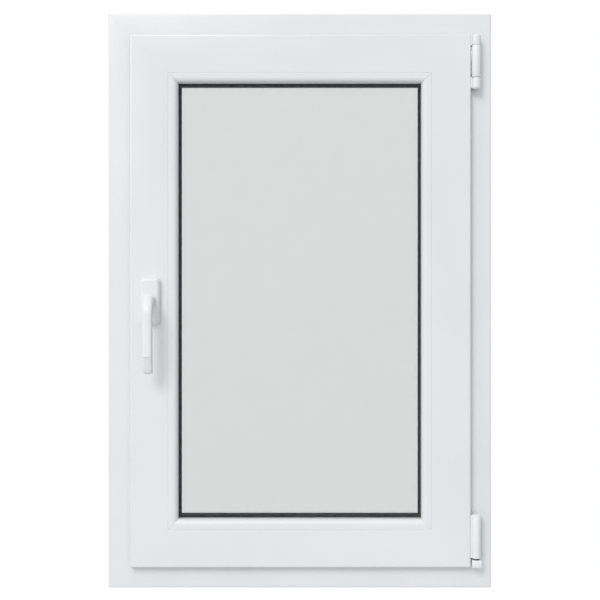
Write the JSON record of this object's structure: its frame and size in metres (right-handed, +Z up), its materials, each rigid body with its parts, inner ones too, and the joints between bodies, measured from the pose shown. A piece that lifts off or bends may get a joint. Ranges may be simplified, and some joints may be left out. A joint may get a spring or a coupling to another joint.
{
  "type": "casement window",
  "caption": "White tilt-and-turn casement window with a glazed inward-opening sash, a lever handle on one side and exposed hinges on the other.",
  "frame": {"origin": "middle of the sill's underside, half way through the frame's depth", "axes": "+X to the hinge side as seen from the room, +Y out of the building, +Z up"},
  "size_m": [0.6, 0.1375, 0.9],
  "materials": {
    "upvc": "extruded white uPVC, semi-gloss",
    "white_coated_zinc": "white powder coat on die-cast zinc",
    "galvanised_steel": "zinc plated steel",
    "die_cast_zinc": "bare die-cast zinc",
    "glass": "clear float glass",
    "spacer_aluminium": "mill-finish aluminium spacer bar",
    "epdm": "black EPDM",
    "polymer": "grey moulded packer"
  },
  "bodies": {
    "frame": {"frame_sill": "upvc", "frame_head": "upvc", "frame_lock_jamb": "upvc", "frame_hinge_jamb": "upvc", "frame_steel_sill": "galvanised_steel", "frame_steel_head": "galvanised_steel", "frame_steel_lock": "galvanised_steel", "frame_steel_hinge": "galvanised_steel", "frame_seal": "epdm", "drain_cap_left": "upvc", "drain_cap_right": "upvc", "keeper_lock": "die_cast_zinc", "keeper_head": "die_cast_zinc", "tilt_keeper": "die_cast_zinc", "stay_bearing": "white_coated_zinc", "upper_hinge_pin": "galvanised_steel", "corner_bearing": "white_coated_zinc"},
    "hinge_cradle": {"pivot_cradle": "galvanised_steel"},
    "stay": {"stay_arm": "galvanised_steel", "stay_pin": "galvanised_steel", "stay_eye_cover": "white_coated_zinc"},
    "sash": {"sash_bottom_rail": "upvc", "sash_top_rail": "upvc", "sash_lock_stile": "upvc", "sash_hinge_stile": "upvc", "sash_steel_sill": "galvanised_steel", "sash_steel_head": "galvanised_steel", "sash_steel_lock": "galvanised_steel", "sash_steel_hinge": "galvanised_steel", "glazing_bead_sill": "upvc", "glazing_bead_head": "upvc", "glazing_bead_lock": "upvc", "glazing_bead_hinge": "upvc", "pane_inner": "glass", "pane_outer": "glass", "glass_spacer": "spacer_aluminium", "glazing_gasket_inner": "epdm", "glazing_gasket_outer": "epdm", "setting_block_left": "polymer", "setting_block_right": "polymer", "sash_seal": "epdm", "corner_hinge": "galvanised_steel", "corner_hinge_cover": "white_coated_zinc", "faceplate_lock": "galvanised_steel", "stay_guide": "galvanised_steel", "faceplate_sill": "galvanised_steel", "corner_drive_head": "galvanised_steel", "gearbox_case": "die_cast_zinc", "handle_rosette": "white_coated_zinc", "handle_screw_lower": "galvanised_steel", "handle_screw_upper": "galvanised_steel"},
    "handle": {"handle_lever": "white_coated_zinc", "spindle": "galvanised_steel", "drive_pinion": "galvanised_steel"},
    "lock_rod": {"drive_rod": "galvanised_steel", "lock_cam": "die_cast_zinc"},
    "top_rod": {"head_rod": "galvanised_steel", "head_cam": "die_cast_zinc"},
    "bottom_rod": {"sill_rod": "galvanised_steel", "tilt_cam": "die_cast_zinc"}
  },
  "joints": [
    {"name": "turn", "type": "hinge", "parent": "frame", "child": "hinge_cradle", "pos_m": [0.2745, -0.0465, 0.04], "axis": [0, 0, 1], "range_deg": [0, 95]},
    {"name": "tilt", "type": "hinge", "parent": "hinge_cradle", "child": "sash", "pos_m": [0.2745, -0.0465, 0.04], "axis": [1, 0, 0], "range_deg": [0, 9]},
    {"name": "stay_swing", "type": "hinge", "parent": "hinge_cradle", "child": "stay", "pos_m": [0.2745, -0.0465, 0.82], "axis": [0, 0, 1], "range_deg": [0, 25]},
    {"name": "handle_turn", "type": "hinge", "parent": "sash", "child": "handle", "pos_m": [-0.2315, -0.049, 0.45], "axis": [0, -1, 0], "range_deg": [0, 180]},
    {"name": "lock_slide", "type": "slide", "parent": "sash", "child": "lock_rod", "axis": [0, 0, -1], "range_m": [0, 0.0361]},
    {"name": "head_slide", "type": "slide", "parent": "sash", "child": "top_rod", "axis": [-1, 0, 0], "range_m": [0, 0.0361]},
    {"name": "sill_slide", "type": "slide", "parent": "sash", "child": "bottom_rod", "axis": [1, 0, 0], "range_m": [0, 0.0361]}
  ],
  "couplings": [
    {"joint": "stay_swing", "follows": "tilt", "ratio": 2.714},
    {"joint": "lock_slide", "follows": "handle_turn", "m_per_rad": 0.011459},
    {"joint": "head_slide", "follows": "handle_turn", "m_per_rad": 0.011459},
    {"joint": "sill_slide", "follows": "handle_turn", "m_per_rad": 0.011459}
  ]
}
